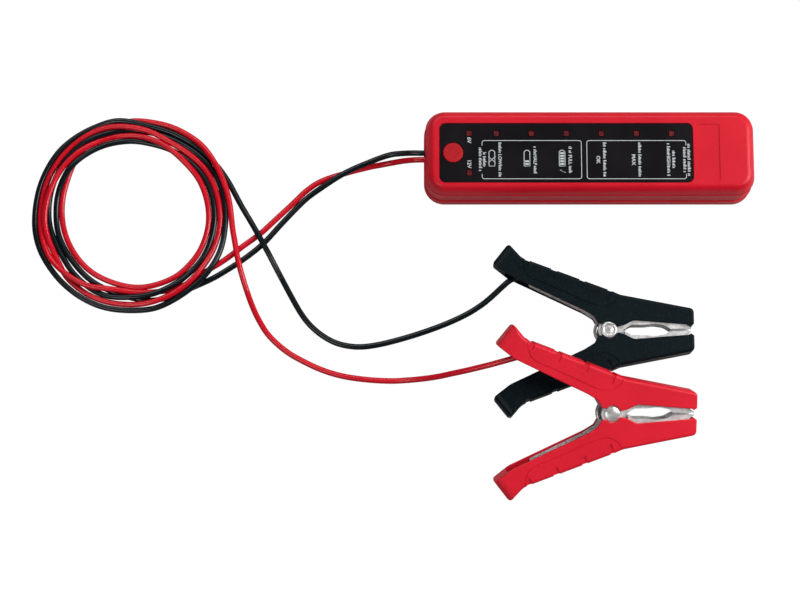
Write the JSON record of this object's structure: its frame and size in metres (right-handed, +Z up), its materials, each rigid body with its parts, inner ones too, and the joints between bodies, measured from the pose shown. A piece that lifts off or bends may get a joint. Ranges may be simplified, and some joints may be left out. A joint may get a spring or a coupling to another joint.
{
  "type": "battery tester",
  "caption": "Hand-held battery tester: rounded plastic case with a push button and indicator lamps, two coiled leads and two insulated spring clamps.",
  "frame": {"origin": "centre of the case's underside, without its leads and clamps", "axes": "+X along the case, away from the end where the leads leave it; +Y across the case; +Z up through its face"},
  "size_m": [0.3208, 0.1724, 0.0322],
  "materials": {
    "red_plastic": "fine moulded grain, satin",
    "button_red": "satin",
    "label_black": "printed film, low gloss",
    "lamp_red": "clear dark red, gloss",
    "black_plastic": "fine moulded grain, satin",
    "red_lead": "soft PVC, gloss",
    "black_lead": "soft PVC, gloss",
    "nickel": "bright nickel plate",
    "steel": "zinc plated",
    "board_green": "solder mask",
    "chip_black": "moulded package",
    "white_nylon": "moulded",
    "tin": "tin plate"
  },
  "bodies": {
    "tester": {"base_cover": "red_plastic", "top_cover": "red_plastic", "fascia_label": "label_black", "tact_switch": "chip_black", "circuit_board": "board_green", "lamp_state_1": "lamp_red", "lamp_state_2": "lamp_red", "lamp_state_3": "lamp_red", "lamp_state_4": "lamp_red", "lamp_state_5": "lamp_red", "lamp_state_6": "lamp_red", "lamp_6_volt": "lamp_red", "lamp_12_volt": "lamp_red", "microcontroller": "chip_black", "voltage_regulator": "chip_black", "load_resistor": "white_nylon", "capacitor": "steel", "protection_diode": "chip_black", "cable_clamp": "white_nylon", "clamp_screw_1": "steel", "clamp_screw_2": "steel", "case_screw_1": "steel", "case_screw_2": "steel", "case_screw_3": "steel", "case_screw_4": "steel", "black_clamp_upper_grip": "black_plastic", "black_clamp_upper_jaw": "nickel", "black_clamp_rivet": "nickel", "black_clamp_spring": "steel", "black_clamp_crimp": "tin", "red_clamp_upper_grip": "red_plastic", "red_clamp_upper_jaw": "nickel", "red_clamp_rivet": "nickel", "red_clamp_spring": "steel", "red_clamp_crimp": "tin", "black_lead_from_case": "black_lead", "red_lead_from_case": "red_lead", "black_lead_to_clamp": "black_lead", "red_lead_to_clamp": "red_lead", "lead_coil": "red_lead"},
    "test_button": {"test_button": "button_red"},
    "black_clamp_half": {"black_clamp_lower_grip": "black_plastic", "black_clamp_lower_jaw": "nickel"},
    "red_clamp_half": {"red_clamp_lower_grip": "red_plastic", "red_clamp_lower_jaw": "nickel"}
  },
  "joints": [
    {"name": "button_press", "type": "slide", "parent": "tester", "child": "test_button", "axis": [0, 0, -1], "range_m": [0, 0.0008], "stiffness_N_per_m": 400, "springref_m": -0.0004},
    {"name": "black_clamp_squeeze", "type": "hinge", "parent": "tester", "child": "black_clamp_half", "pos_m": [0.0081, -0.077, 0.0055], "axis": [0, 0, -1], "range_deg": [0, 22], "stiffness_Nm_per_rad": 0.2, "springref_deg": -45.84, "deforming": ["black_clamp_spring"]},
    {"name": "red_clamp_squeeze", "type": "hinge", "parent": "tester", "child": "red_clamp_half", "pos_m": [0.00787, -0.11367, 0.01162], "axis": [-0.0997, 0.2837, -0.9537], "range_deg": [0, 22], "stiffness_Nm_per_rad": 0.2, "springref_deg": -45.84, "deforming": ["red_clamp_spring"]}
  ]
}
